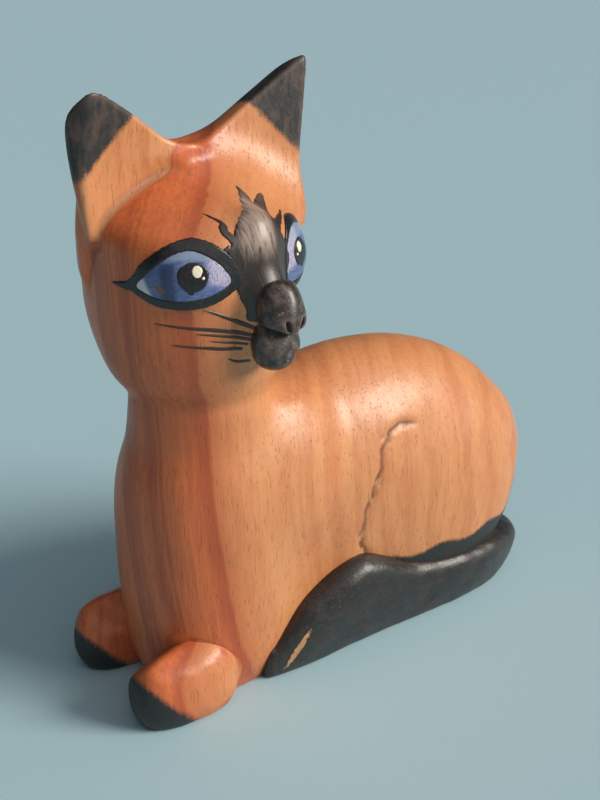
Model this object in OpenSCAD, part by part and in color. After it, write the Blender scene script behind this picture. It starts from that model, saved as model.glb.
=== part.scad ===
// Carved and painted wooden cat, lying down with its head turned to its left.
// Z is up, the cat's chest faces -Y and its left side is +X. The flat underside
// lies on Z = 0. Every wooden piece meets its neighbour at a carver's crease, and
// the paint is modelled as thin films that sit on the wood.

/* [Overall] */
// Height from the flat underside to the ear tips
total_h = 148; // [140:1:156]
// Length of the body from chest to rump
body_l = 126; // [120:1:132]
// Width of the body across the belly
body_w = 42; // [38:1:46]
// Height of the back above the underside
back_h = 78; // [74:1:80]

/* [Neck and head] */
// Height of the glued neck joint
neck_z = 78; // [76:1:80]
// Sideways offset of the head from the middle of the body
head_x = 4.5; // [2:0.5:6]
// Distance of the head axis in front of the middle of the body
head_fwd = 42; // [40:1:44]
// Turn of the head towards the cat's left, in degrees
head_turn = 100; // [80:1:110]
// Half width of the head at the level of the eyes
head_half_w = 23; // [22:0.5:24]
// Height of the middle of the eyes
eye_z = 110; // [108:0.5:112]
// Height of the valley between the ears
crown_z = 130.5; // [128:0.5:132]

/* [Ears] */
// Distance from the middle of the head to an ear tip
ear_spread = 28.5; // [26:0.5:30]
// How far the ear tips lean forward of the head axis
ear_lean = 5.5; // [3:0.5:8]
// Radius of the rounded ear tip
ear_tip_r = 1.8; // [1:0.1:2.5]

/* [Paws] */
// Distance between the middles of the two front paws
paw_gap = 29; // [27:0.5:30]
// Width of a front paw
paw_w = 15.5; // [14:0.5:17]
// Height of a front paw where it leaves the chest
paw_h = 19; // [17:0.5:20]
// How far a front paw reaches ahead of the middle of the body
paw_reach = 70; // [67:1:73]

/* [Tail] */
// Thickness of the tail across the body
tail_t = 10; // [8:0.5:12]
// Height of the tail at the widest part of its tip
tail_top = 27; // [24:1:29]
// Height of the tail beside the haunch
tail_low = 16; // [14:1:18]

/* [Paint] */
// Thickness of one film of paint
film = 0.35; // [0.25:0.05:0.5]
// Width of an eye between its corners, along the face
eye_w = 20; // [18:0.5:22]
// Height of the blue part of an eye
eye_h = 9.6; // [8:0.1:11]
// Width of the dark line around an eye
rim_w = 2; // [1.5:0.1:2.5]
// Diameter of a pupil
pupil_d = 5.4; // [4.5:0.1:6]

/* [Hidden] */

wood = "peru";
black = [0.12, 0.11, 0.10];
mid_y = 4;                       // middle of the body along Y
rump_y = mid_y + body_l / 2;     // rear end of the body
eye_turn = 46;                   // angle of an eye away from the nose, in degrees
nose_z = eye_z - 7;              // middle of the nose pad
nose_out = 27;                   // middle of the nose pad in front of the head axis
lip_drop = 5;                    // joint between nose and muzzle below the nose's middle
far = 200;                       // larger than anything in the model

// Value at t (0 to 1) on a smooth curve through evenly spaced control values
function curve(v, t) =
    let (n = len(v) - 1, s = min(max(t, 0), 0.99999) * n, i = floor(s), f = s - i,
         a = v[max(i - 1, 0)], b = v[i], c = v[i + 1], d = v[min(i + 2, n)])
    b + 0.5 * f * (c - a + f * (2 * a - 5 * b + 4 * c - d + f * (3 * (b - c) + d - a)));

// Signed power, which squares up or pinches a round outline
function spow(c, p) = sign(c) * pow(abs(c), p);

// Closed skin over a list of rings that all have the same number of points
module skin(rings) {
    n = len(rings[0]);
    m = len(rings);
    polyhedron(
        points = [for (r = rings) each r],
        faces = [
            [for (i = [0:n - 1]) i],
            for (k = [0:m - 2], i = [0:n - 1]) let (j = (i + 1) % n)
                each [[k * n + i, (k + 1) * n + i, (k + 1) * n + j],
                      [k * n + i, (k + 1) * n + j, k * n + j]],
            [for (i = [n - 1:-1:0]) (m - 1) * n + i]],
        convexity = 6);
}

// Rounded block with half sizes r, squared up by the exponents pz (side view) and
// pr (plan); down is its half size below the middle when that differs from r.z
module pebble(r, pz = 1, pr = 1, n = 48, m = 24, down = 0) {
    skin([for (k = [0:m]) let (b = -89 + 178 * k / m)
        [for (i = [0:n - 1]) let (a = 360 * i / n)
            [r.x * spow(cos(b), pz) * spow(cos(a), pr),
             r.y * spow(cos(b), pz) * spow(sin(a), pr),
             (b < 0 && down > 0 ? down : r.z) * spow(sin(b), pz)]]]);
}

// Everything above the flat underside, and at or below height top
module above_floor(top = far) {
    intersection() {
        children();
        translate([-far, -far, 0]) cube([2 * far, 2 * far, top]);
    }
}

// ---- Body -----------------------------------------------------------------

// Chest and neck: a column whose sections narrow from the shoulders to the neck joint
module chest_column(top = neck_z) {
    half = [14, 18, 19.5, 20, 20, 20, 19, 16.8, 16.2];
    front = [13, 17.5, 19, 20, 20.6, 20.8, 19.8, 17, 16.2];
    back = [12, 18, 20, 21, 22, 23, 22, 18.5, 16.8];
    n = 36;
    m = 18;
    skin([for (k = [0:m]) let (t = k / m, z = -2 + (top + 2) * t,
                              cx = head_x * t * t, cy = -(head_fwd - 2) - 2 * t * t)
        [for (i = [0:n - 1]) let (a = 360 * i / n, s = sin(a))
            [cx + curve(half, t) * cos(a),
             cy + (s < 0 ? curve(front, t) : curve(back, t)) * s, z]]]);
}

// Belly, back and rump: level sections that are narrow at the floor, widest halfway up
// and closed over the back
module barrel() {
    half = [0.6, 0.72, 0.79, 0.88, 0.97, 1, 0.94, 0.76, 0.28] * body_w / 2;
    front = [54, 56, 57, 57, 56, 54, 50, 40, 12];
    back = [0.79, 0.94, 1, 1.01, 0.98, 0.9, 0.77, 0.58, 0.22] * body_l / 2;
    n = 44;
    m = 22;
    skin([for (k = [0:m]) let (t = sin(90 * k / m))
        [for (i = [0:n - 1]) let (a = 360 * i / n, c = spow(cos(a), 0.92), s = spow(sin(a), 0.92))
            [curve(half, t) * c, mid_y + (s < 0 ? curve(front, t) : curve(back, t)) * s,
             back_h * t]]]);
}

// The whole body before the paws and the tail are let into it
module body_blank() {
    chest_column();
    barrel();
    for (side = [-1, 1]) translate([side * 7.5, 27, 34])
        pebble([14.5, 31, 28], 0.95, 1, 32, 16, down = 33);
}

module trunk() {
    color(wood) resize([0, 0, 0]) difference() {
        above_floor(neck_z) body_blank();
        tail_blank(0.02);
        for (side = [-1, 1]) paw_blank(side, 0.02);
    }
}

// ---- Front paws -----------------------------------------------------------

// A front paw, grown by g; side is 1 for the cat's left and -1 for its right
module paw_blank(side, g = 0) {
    half_l = 14.5;
    translate([side * paw_gap / 2, -paw_reach + half_l, paw_h * 0.42])
        pebble([paw_w / 2 + g, half_l + g, paw_h * 0.58 + g], 0.88, 0.92, 36, 18);
}

module forepaw(side) {
    color(wood) resize([0, 0, 0]) above_floor() paw_blank(side);
}

module forepaw_left() forepaw(1);
module forepaw_right() forepaw(-1);

// ---- Tail -----------------------------------------------------------------

// The tail lies on the floor: it leaves the rump, follows the left flank and ends in a
// broad tip beside the chest, leaning outwards with the flank
function tail_path(t) = [
    curve([-4, 6, 12.5, 14.5, 13.5, 12.5, 13.5, 14], t),
    curve([rump_y - 5, rump_y - 9, 46, 32, 14, -4, -20, -31], t)];

module tail_blank(g = 0) {
    height = [11, 13, tail_low, tail_low + 1, tail_low + 3, tail_top, 21, 7];
    thick = [tail_t, tail_t, tail_t, tail_t, tail_t, tail_t, tail_t * 0.9, tail_t * 0.5];
    n = 26;
    m = 30;
    skin([for (k = [0:m]) let (t = k / m, p = tail_path(t),
                              d = tail_path(t + 0.01) - tail_path(t - 0.01), u = d / norm(d),
                              end = sqrt(max(0.02, 1 - pow(abs(2 * t - 1), 14))),
                              h = curve(height, t) * end + g,
                              w = curve(thick, t) * end / 2 + g)
        [for (i = [0:n - 1]) let (a = -360 * i / n,
                                 z = h * 0.4 + h * 0.6 * spow(sin(a), 0.85),
                                 across = w * spow(cos(a), 0.8) - 0.15 * z)
            [p.x + across * u.y, p.y - across * u.x, z]]]);
}

module tail() {
    color(black) resize([0, 0, 0]) above_floor() tail_blank();
}

// ---- Head -----------------------------------------------------------------

// Puts children, drawn looking along -Y, onto the turned head
module on_head() {
    translate([head_x, -head_fwd, 0]) rotate([0, 0, head_turn]) children();
}

// The skull, grown outwards by g; low ends it under the neck joint
module skull(g = 0) {
    half = [0.69, 0.87, 0.95, 0.99, 1, 1, 1, 0.97, 0.95] * head_half_w;
    front = [15.6, 18.5, 20.6, 21.6, 22, 22.2, 22, 20.5, 20];
    back = [16.2, 20, 24.4, 27, 28.2, 28.5, 27, 24, 22];
    n = 52;
    m = 26;
    skin([for (k = [0:m]) let (t = k / m, z = neck_z + (crown_z - neck_z + g) * t,
                              dome = sqrt(1 - pow(max(t - 0.72, 0) / 0.285, 2.2)))
        [for (i = [0:n - 1]) let (a = 360 * i / n, s = sin(a))
            [(curve(half, t) * dome + g) * cos(a),
             ((s < 0 ? curve(front, t) : curve(back, t)) * dome + g) * s, z]]]);
}

// Bridge of the nose: a low ridge from between the eyes down to the nose pad
module bridge(g = 0) {
    hull() {
        translate([0, -19, eye_z + 9]) sphere(r = 2.6 + g, $fn = 32);
        translate([0, -nose_out + 5, nose_z + 2]) sphere(r = 3.6 + g, $fn = 32);
        translate([0, -nose_out + 5.5, nose_z - 7]) sphere(r = 4.2 + g, $fn = 32);
    }
}

// Skull with its bridge, still without the ears and the nose let in
module face(g = 0) {
    skull(g);
    bridge(g);
}

module head() {
    color(wood) resize([0, 0, 0]) on_head() difference() {
        face();
        for (side = [-1, 1]) ear_blank(side, 0.02);
        nose_blank(0.02);
        muzzle_blank(0.02);
    }
}

// An ear is one bevelled wedge: a flat front facet over a rounded back
module ear_blank(side, g = 0) {
    hull() {
        translate([side * (ear_spread - ear_tip_r), -ear_lean, total_h - ear_tip_r])
            sphere(r = ear_tip_r + g, $fn = 20);
        translate([side * (ear_spread - ear_tip_r), 2, total_h - 7])
            sphere(r = ear_tip_r + g, $fn = 20);
        translate([side * 2, -1, crown_z - 1.6]) sphere(r = 1 + g, $fn = 20);
        translate([side * (head_half_w + 0.5), -6.5, eye_z + 8]) sphere(r = 1.2 + g, $fn = 20);
        translate([side * 5, 9, crown_z - 5]) sphere(r = 2 + g, $fn = 20);
        translate([side * (head_half_w - 4), 10, eye_z + 6]) sphere(r = 3 + g, $fn = 20);
    }
}

module ear(side) {
    color(wood) resize([0, 0, 0]) on_head() ear_blank(side);
}

module ear_left() ear(1);
module ear_right() ear(-1);

// Keeps what is above (up = 1) or below (up = -1) the joint between nose and muzzle
module beside_lip(up) {
    intersection() {
        children();
        translate([-far, -far, up > 0 ? nose_z - lip_drop : nose_z - lip_drop - 0.02 - far])
            cube([2 * far, 2 * far, far]);
    }
}

// Nose pad, grown by g
module nose_blank(g = 0) {
    translate([0, -nose_out, nose_z]) rotate([-14, 0, 0])
        pebble([5.2 + g, 4.6 + g, 6 + g], 0.85, 0.85, 28, 14);
}

// The pad with two nostril slots
module nose() {
    color(black) resize([0, 0, 0]) on_head() difference() {
        beside_lip(1) nose_blank();
        for (side = [-1, 1])
            translate([side * 1.9, -nose_out - 4.4, nose_z - 2.4]) rotate([0, side * 24, 0])
                scale([0.6, 1.2, 1.4]) sphere(r = 1, $fn = 16);
    }
}

// Muzzle and chin, grown by g
module muzzle_blank(g = 0) {
    translate([0, -nose_out + 1.6, nose_z - 8.2])
        pebble([5 + g, 5 + g, 5.4 + g], 0.85, 0.85, 28, 14);
}

// The muzzle with the line of the mouth cut across it
module muzzle() {
    color(black) resize([0, 0, 0]) on_head() difference() {
        beside_lip(-1) muzzle_blank();
        translate([-3.6, -nose_out - 3.6, nose_z - 9.6]) rotate([0, 90, 0])
            cylinder(h = 7.2, r = 0.6, $fn = 14);
    }
}

// ---- Paint ----------------------------------------------------------------

// Keeps the part of a film that a flat pattern covers, seen from the angle turn
module painted(turn, z, inner, outer) {
    intersection() {
        difference() {
            face(outer);
            face(inner);
        }
        rotate([0, 0, turn]) translate([0, 0, z]) rotate([90, 0, 0])
            linear_extrude(height = far) children();
    }
}

// Almond outline of half width w and half height h, drawn with its inner corner at -X
module almond(w, h, n = 40) {
    polygon([for (i = [0:n - 1]) let (a = 360 * i / n)
        [w * cos(a), h * (sin(a) > 0 ? pow(sin(a), 1.25) : -pow(-sin(a), 1.4))
            - 0.1 * h * cos(a)]]);
}

module eye_outline(side) {
    scale([side, 1]) children();
}

module eye_field(side) {
    color("cornflowerblue") resize([0, 0, 0]) on_head()
        painted(side * eye_turn, eye_z, 0.02, film) eye_outline(side) difference() {
            almond(eye_w / 2, eye_h / 2);
            circle(d = pupil_d, $fn = 32);
        }
}

module eye_rim(side) {
    color(black) resize([0, 0, 0]) on_head()
        painted(side * eye_turn, eye_z, 0.02, film) eye_outline(side) difference() {
            union() {
                almond(eye_w / 2 + rim_w, eye_h / 2 + rim_w);
                polygon([[eye_w / 2, 2.2], [eye_w / 2 + 5.5, -0.4], [eye_w / 2, -2]]);
            }
            almond(eye_w / 2, eye_h / 2);
        }
}

module pupil(side) {
    color(black) resize([0, 0, 0]) on_head()
        painted(side * eye_turn, eye_z, 0.02, film) circle(d = pupil_d, $fn = 32);
}

module catchlight(side) {
    color("ivory") resize([0, 0, 0]) on_head()
        painted(side * eye_turn, eye_z, film, 2 * film)
            translate([1.2, 1.1]) circle(d = 2, $fn = 24);
}

module eye_field_left() eye_field(1);
module eye_field_right() eye_field(-1);
module eye_rim_left() eye_rim(1);
module eye_rim_right() eye_rim(-1);
module pupil_left() pupil(1);
module pupil_right() pupil(-1);
module catchlight_left() catchlight(1);
module catchlight_right() catchlight(-1);

// Tapered brush stroke of length l and root width w, drawn along +X
module stroke(l, w) {
    polygon([[0, w / 2], [l * 0.5, w * 0.4], [l, 0], [l * 0.5, -w * 0.25], [0, -w / 2]]);
}

// Dark patch over the bridge of the nose, with flames painted up the forehead
module blaze() {
    color(black) resize([0, 0, 0]) on_head()
        painted(0, eye_z, 0.02, film) {
            translate([-3.2, -0.4]) square([6.4, 9.4]);
            translate([0, 9]) circle(d = 6.4, $fn = 24);
            for (k = [-2:2]) translate([k * 1.4, 10.5]) rotate(90 - 9 * k)
                stroke(6.5 - abs(k), 2.2);
        }
}

// Four whisker strokes fanned out over one cheek
module whiskers(side) {
    color([0.2, 0.13, 0.08]) resize([0, 0, 0]) on_head()
        painted(side * 42, nose_z - 6, 0.02, film) scale([side, 1])
            for (k = [0:3]) translate([-11.5, 2.5 - 1.9 * k]) rotate(11 - 6 * k)
                stroke(k == 0 ? 8 : 15 - abs(k - 2), 1);
}

module whiskers_left() whiskers(1);
module whiskers_right() whiskers(-1);

trunk();
head();
ear_left();
ear_right();
forepaw_left();
forepaw_right();
tail();
nose();
muzzle();
eye_field_left();
eye_field_right();
eye_rim_left();
eye_rim_right();
pupil_left();
pupil_right();
catchlight_left();
catchlight_right();
blaze();
whiskers_left();
whiskers_right();
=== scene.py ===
"""A carved and varnished wooden cat that lies with its head turned to its left.

The wood is worked out as one smooth solid and then parted into trunk, head and ears, so that
its surface runs on across the joints. Paint is laid on it as thin films.
"""
import math
from itertools import combinations

import bmesh
import bpy
import numpy as np
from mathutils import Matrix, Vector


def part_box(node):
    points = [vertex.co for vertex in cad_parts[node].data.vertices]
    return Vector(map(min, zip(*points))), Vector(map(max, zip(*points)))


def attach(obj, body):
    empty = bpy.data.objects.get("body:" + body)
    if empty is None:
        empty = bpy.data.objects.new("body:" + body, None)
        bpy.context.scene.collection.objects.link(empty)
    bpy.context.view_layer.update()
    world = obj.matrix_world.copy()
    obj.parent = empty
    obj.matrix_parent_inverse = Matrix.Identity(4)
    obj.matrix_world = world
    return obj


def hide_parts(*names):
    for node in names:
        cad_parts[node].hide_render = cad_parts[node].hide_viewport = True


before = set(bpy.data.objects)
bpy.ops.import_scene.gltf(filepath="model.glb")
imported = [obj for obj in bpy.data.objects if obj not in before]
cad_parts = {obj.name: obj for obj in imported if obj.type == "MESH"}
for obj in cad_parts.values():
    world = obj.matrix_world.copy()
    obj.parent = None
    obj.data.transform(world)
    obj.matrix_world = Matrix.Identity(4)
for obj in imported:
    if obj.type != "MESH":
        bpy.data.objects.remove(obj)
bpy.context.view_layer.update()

import openvdb
from mathutils import Vector

bl_info = {
    "name": "Carved wooden cat",
    "version": (1, 0, 0),
    "blender": (4, 5, 0),
    "location": "3D View > Sidebar > Cat",
    "description": "Builds a carved, painted and varnished wooden cat around its CAD frame",
    "category": "Add Mesh",
}

MM = 0.001
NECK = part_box("trunk")[1][2]

# Places and sizes of the carving, in millimetres
HEAD = (4.5, -42.0)  # upright axis that the head is turned about
CROWN = 52.5  # height of the skull above the neck
EYE_AT, EYE_Z, EYE_R = 46.0, 110.0, 23.0  # bearing in degrees, height, distance from the axis
MOUTH, LIP_SLOPE = 97.9, 0.5  # level of the mouth in the middle, and its rise to the sides
PAW_AT, PAW_SIZE = (14.7, -54.8, 8), (7.7, 14.3, 11.9)  # middle and half sizes of a paw
PITH, HEART_RADIUS = (-36.25, -95.36), 70.0  # middle of the growth rings, size of the heart
LET_IN, NOSE_LET_IN = 0.5, 0.6  # how deep a piece reaches into the wood that it meets
SUNK = 0.3 * MM  # how deep a coat of paint reaches into the wood


# ---- Sizes and colours ----------------------------------------------------------------


def length(name, description, default):
    return bpy.props.FloatProperty(
        name=name, description=description, default=default, unit="LENGTH", precision=5)


def colour(name, description, default):
    return bpy.props.FloatVectorProperty(
        name=name, description=description, default=default, subtype="COLOR", size=3,
        min=0.0, max=1.0)


class CatShape(bpy.types.PropertyGroup):
    """Sizes of the carving and of its paint"""

    neck: length("Neck height", "Level at which the head is parted from the trunk", NECK)
    trunk_cell: length("Trunk detail", "Width of one facet of the trunk", 0.0006)
    head_cell: length("Head detail", "Width of one facet of the head", 0.0005)
    paint_cell: length("Paint detail", "Width of one facet of a paint film", 0.0002)
    head_turn: bpy.props.FloatProperty(
        name="Head turn", description="How far the face is turned from straight ahead",
        default=math.radians(100), subtype="ANGLE")
    groove: length("Thigh groove", "Depth of the groove in front of the thigh", 0.0010)
    dishing: length("Ear dishing", "How hollow the front facet of an ear is", 0.0007)
    tool_marks: length("Tool marks", "Height of the waves left by the carver's tools", 0.00006)
    coat: length("Paint film", "Thickness of one coat of paint", 0.00022)
    pupil: length("Pupil", "Radius of the pupil", 0.00305)
    whisker: length("Whisker", "Half width of a whisker stroke", 0.00076)


class CatColours(bpy.types.PropertyGroup):
    """Colours of the wood and of the paints"""

    sap_light: colour("Sapwood", "Pale wood", (0.64, 0.27, 0.105))
    sap_deep: colour("Sapwood bands", "Darker growth bands of the pale wood", (0.52, 0.18, 0.063))
    heart_light: colour("Heartwood", "Red-brown wood", (0.68, 0.165, 0.045))
    heart_deep: colour("Heartwood bands", "Darkest growth bands", (0.33, 0.055, 0.018))
    pore: colour("Pores", "Open pores of the grain", (0.16, 0.05, 0.02))
    black: colour("Black paint", "Tail, nose, ear tips and toes", (0.016, 0.0155, 0.015))
    # Reddish brown on the black ridges: partly rubbed paint, partly a painted sheen.
    wear_and_sheen: colour("Worn paint", "Where the black has rubbed thin", (0.13, 0.055, 0.03))
    line: colour("Eye line", "Black line round the eyes", (0.0065, 0.006, 0.006))
    blue: colour("Eye blue", "Main blue of the eyes", (0.065, 0.099, 0.236))
    blue_deep: colour("Deep blue", "Shadow beside the pupil", (0.02, 0.032, 0.10))
    lilac: colour("Lilac", "Pale strokes beside the pupil", (0.48, 0.42, 0.56))
    cream: colour("Catchlight", "Dab of cream paint", (0.86, 0.79, 0.6))
    umber: colour("Blaze", "Dark brown paint over the nose", (0.018, 0.012, 0.010))
    # Grey of the blaze's bloom: partly sprayed paint, partly a painted highlight.
    sheen: colour("Blaze sheen", "Greyish bloom on the blaze", (0.40, 0.29, 0.23))
    whisker: colour("Whisker brown", "Thin brown strokes", (0.045, 0.018, 0.01))
    floor: colour("Floor", "Plain pale floor", (0.40, 0.58, 0.65))


def shape():
    """Sizes as they are set in the sidebar."""
    return bpy.context.scene.cat_shape


def colours():
    """Colours as they are set in the sidebar."""
    return bpy.context.scene.cat_colours


# ---- Curves and solids, all in millimetres -----------------------------------------------


def curve(values, t):
    """Smooth curve through evenly spaced values, for t from 0 to 1."""
    v = np.asarray(values, np.float32)
    n = len(v) - 1
    x = np.clip(t, 0, 1) * n
    i = np.minimum(x.astype(int), n - 1)
    f = x - i
    a, b, c, d = v[np.maximum(i - 1, 0)], v[i], v[i + 1], v[np.minimum(i + 2, n)]
    return b + 0.5 * f * (c - a + f * (2 * a - 5 * b + 4 * c - d + f * (3 * (b - c) + d - a)))


def ease(lo, hi, x):
    """Goes smoothly from 0 at lo to 1 at hi."""
    t = np.clip((x - lo) / (hi - lo), 0, 1)
    return t * t * (3 - 2 * t)


def merge(a, b, k):
    """Union of two solids with a fillet about k wide."""
    h = np.maximum(k - np.abs(a - b), 0) / k
    return np.minimum(a, b) - h * h * k / 4


def keep(a, b, k):
    """What lies in both solids, its edges rounded about k wide."""
    return -merge(-a, -b, k)


class Block:
    """A grid of points over a box, on which solids are worked out as distances."""

    def __init__(self, lo, hi, cell):
        self.lo, self.cell = np.array(lo, np.float32), cell
        axes = [np.arange(a, b + cell, cell, dtype=np.float32) for a, b in zip(lo, hi)]
        self.x, self.y, self.z = np.meshgrid(*axes, indexing="ij", sparse=True)
        turn = shape().head_turn
        c, s = math.cos(turn), math.sin(turn)
        dx, dy = self.x - HEAD[0], self.y - HEAD[1]
        self.hx, self.hy = dx * c + dy * s, dy * c - dx * s

    def slopes(self, f):
        return np.gradient(f, self.cell)

    def level(self, f):
        """Rescales a solid so that its numbers are distances near its surface."""
        gx, gy, gz = self.slopes(f)
        return f / np.maximum(np.sqrt(gx * gx + gy * gy + gz * gz), 1e-3)


def ripple(b):
    """Slow waves of a hand-cut surface, between about -1 and 1."""
    x, y, z = b.x, b.y, b.z
    return (np.sin(0.37 * x + 0.23 * z + 1.3 * np.sin(0.11 * y)) * np.sin(0.31 * y - 0.14 * z)
            + 0.5 * np.sin(0.63 * y + 0.41 * z + 2) * np.sin(0.53 * x - 0.35 * y))


def column(b):
    """Chest and neck: level sections that narrow from the shoulders to the neck."""
    top = shape().neck / MM
    t = np.clip((b.z + 2) / (top + 2), 0, 1)
    half = curve([14, 18, 19.5, 20, 20, 20, 19, 16.8, 16.2], t)
    front = curve([13, 17.5, 19, 20, 20.6, 20.8, 19.8, 17, 16.2], t)
    back = curve([12, 18, 20, 21, 22, 23, 22, 18.5, 16.8], t)
    x, y = b.x - HEAD[0] * t * t, b.y - (HEAD[1] + 2 - 2 * t * t)
    return b.level(np.hypot(x / half, y / np.where(y < 0, front, back)) - 1)


def barrel(b):
    """Belly, back and rump, closed over the back."""
    t = b.z / 78
    half = 21 * curve([0.6, 0.72, 0.79, 0.88, 0.97, 1.02, 0.99, 0.97, 0.95], t)
    front = curve([54, 56, 57, 57, 56, 54, 49, 42, 38], t)
    back = 63 * curve([0.79, 0.94, 1, 1.01, 0.99, 0.92, 0.81, 0.74, 0.70], t)
    y = b.y - 4
    r = np.abs(b.x / half) ** 2.1 + np.abs(y / np.where(y < 0, front, back)) ** 2.1
    over = np.maximum(t - 0.62, 0) / 0.377
    return b.level((r + over ** 2.4) ** (1 / 2.1) - 1)


def ball(b, centre, size, down=None, power=2.0, turned=False):
    """An ellipsoid, squared up by a power above two; turned means in the head's own frame."""
    x, y = (b.hx, b.hy) if turned else (b.x, b.y)
    x, y, z = x - centre[0], y - centre[1], b.z - centre[2]
    zs = size[2] if down is None else np.where(z < 0, down, size[2])
    f = (np.abs(x / size[0]) ** power + np.abs(y / size[1]) ** power
         + np.abs(z / zs) ** power) ** (1 / power)
    return b.level(f - 1)


def to_path(points, a, c):
    """Shortest distance, in one plane, from the coordinates a and c to a line of points."""
    best = None
    for (p, q), (r, s) in zip(points[:-1], points[1:]):
        ex, ey = r - p, s - q
        t = np.clip(((a - p) * ex + (c - q) * ey) / (ex * ex + ey * ey), 0, 1)
        d = np.hypot(a - p - t * ex, c - q - t * ey)
        best = d if best is None else np.minimum(best, d)
    return best


# On a flank, backwards and up: the groove's line, and the middle and half sizes of each chip
THIGH_LINE = [(16, 58.6), (12, 60.2), (7.2, 61.2), (3.2, 60), (0.4, 56), (-0.8, 50.5),
              (-2.4, 46), (-3.9, 41), (-4.5, 34), (-3.6, 29), (-0.9, 25)]
CHIPS = [(-1.4, 48.2, 1.3, 1.1), (-0.2, 47.3, 1.4, 0.7), (-3, 43.5, 0.9, 1.5),
         (-4.2, 32.5, 1.0, 2.2), (-3.4, 27.6, 1.2, 1.7), (1.6, 59.4, 1.6, 0.8)]


def torso(b):
    """The trunk before it is parted from the head."""
    d = merge(column(b), barrel(b), 13)
    for side in (-1, 1):
        haunch = ball(b, (side * 7.5, 27, 34), (14.5, 31, 28), down=33, power=2.05)
        shoulder = ball(b, (side * 7, -24, 55), (14, 17, 23))
        d = merge(merge(d, haunch, 5), shoulder, 6)
    return d


def grooved(b, d):
    """Cuts the line in front of each thigh, with its torn-out chips, into the flanks."""
    depth = shape().groove / MM
    y, z = b.y + 0 * b.z, b.z + 0 * b.y
    near = to_path(THIGH_LINE, y + groove_wander(y, z), z)
    depth = depth * (0.8 + 0.3 * np.sin(0.4 * z + 1.7)) * (1 - ease(9, 15, y))
    cut = 0.5 * depth * np.exp(-((near / 0.8) ** 2))
    lip = 0.22 * np.exp(-(((near - 2.4) / 3.0) ** 2)) * ease(-2.5, 2.5, y + 0.16 * (50 - z))
    cut = np.maximum(cut, 0.4 * torn(y, z))
    return d + np.where(np.abs(b.x) > 8, cut - lip * (1 - ease(8, 14, y)), 0)


def groove_wander(y, z):
    """How far the groove strays from its line, as the knife followed the grain."""
    return 0.25 * np.sin(0.7 * z + 0.5 * y) + 0.1 * np.sin(1.9 * z + 1.0)


def torn(y, z):
    """Where fibres have torn out beside the groove, from 0 to 1."""
    out = 0
    for cy, cz, ry, rz in CHIPS:
        r = np.hypot((y - cy - 0.3 * np.sin(2.1 * z)) / ry, (z - cz - 0.5 * (y - cy)) / rz)
        out = np.maximum(out, 1 - ease(0.3, 1.3, r))
    return out


def roof_plane(b, side):
    """Slope of the forehead, from the crease in front of an ear down to the brow."""
    n = (0.40 * side, -0.34, 0.853)
    return b.hx * n[0] + b.hy * n[1] + (b.z - 132.2) * n[2]


def skull(b):
    """The head without its ears, in level sections about the neck's axis."""
    neck = shape().neck / MM
    t = np.clip((b.z - neck) / CROWN, 0, 1)
    half = 23 * curve([0.69, 0.87, 0.95, 0.99, 1, 1, 1, 0.97, 0.95], t)
    front = curve([15.6, 18.5, 20.6, 21.6, 22, 22.2, 22, 20.5, 20], t)
    back = curve([16.2, 20, 24.4, 26.8, 27.4, 26.8, 25, 23, 21.5], t)
    over = np.maximum((b.z - neck) / CROWN - 0.72, 0) / 0.285
    r = (b.hx / half) ** 2 + (b.hy / np.where(b.hy < 0, front, back)) ** 2
    d = b.level(np.sqrt(r + over ** 2.2) - 1)
    left, right = [roof_plane(b, side) for side in (1, -1)]
    return keep(d, keep(left, right, 10), 5.0)


def rod(b, p, q, r1, r2):
    """A round bar in the head's own frame, between two points with a radius at each."""
    e = [b2 - a2 for a2, b2 in zip(p, q)]
    dx, dy, dz = b.hx - p[0], b.hy - p[1], b.z - p[2]
    t = np.clip((dx * e[0] + dy * e[1] + dz * e[2]) / sum(v * v for v in e), 0, 1)
    d = np.sqrt((dx - t * e[0]) ** 2 + (dy - t * e[1]) ** 2 + (dz - t * e[2]) ** 2)
    return d - (r1 + (r2 - r1) * t)


def face(b):
    """Skull, bridge of the nose and the swelling of the cheeks, with the neck below."""
    d = skull(b)
    d = merge(d, rod(b, (0, -19, 119), (0, -22, 105), 2.6, 3.6), 5)
    d = merge(d, rod(b, (0, -22, 105), (0, -21.5, 96), 3.6, 4.2), 4)
    for side in (-1, 1):
        d = merge(d, ball(b, (side * 10.4, -10.2, 109.5), (10.2, 9.6, 8.5), turned=True), 3)
    return d + (shape().tool_marks / MM) * ripple(b)


# Each ear, as across, backwards and up: tip, crown and low corner of the front facet, and
# the corners of the rounded back
EARS = {
    1: [(30.3, -5.8, 151.2), (1.2, 0.0, 130.8), (25.6, -7.6, 115.6),
        (29.4, 3.0, 147.0), (5, 9.5, 129.6), (22.0, 11.5, 114.0), (1.5, 6.5, 130.6)],
    -1: [(24.8, -1.6, 149.0), (1.2, 0.0, 130.8), (25.5, 2.6, 115.4),
         (29.4, 4.4, 141.6), (5, 9.5, 129.4), (19.8, 10.0, 113.0), (1.5, 6.5, 130.6)],
}


def facet_plane(side):
    """Unit normal, pointing forwards, and offset of the flat front of an ear."""
    a, b, c = [np.array((side * p[0], p[1], p[2])) for p in EARS[side][:3]]
    n = np.cross(b - a, c - a)
    n /= np.linalg.norm(n)
    if n[1] > 0:
        n = -n
    return n, float(n @ a)


def hull_planes(points):
    """Planes of the convex hull of a few points, as unit normals and offsets."""
    pts = np.array(points, float)
    found = []
    for i, j, k in combinations(range(len(pts)), 3):
        n = np.cross(pts[j] - pts[i], pts[k] - pts[i])
        n /= np.linalg.norm(n)
        away = (pts - pts[i]) @ n
        if away.max() > 1e-6:
            n, away = -n, -away
        if away.max() <= 1e-6 and not any(np.dot(n, m) > 0.9999 for m, _ in found):
            found.append((n, float(pts[i] @ n)))
    return found


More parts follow.
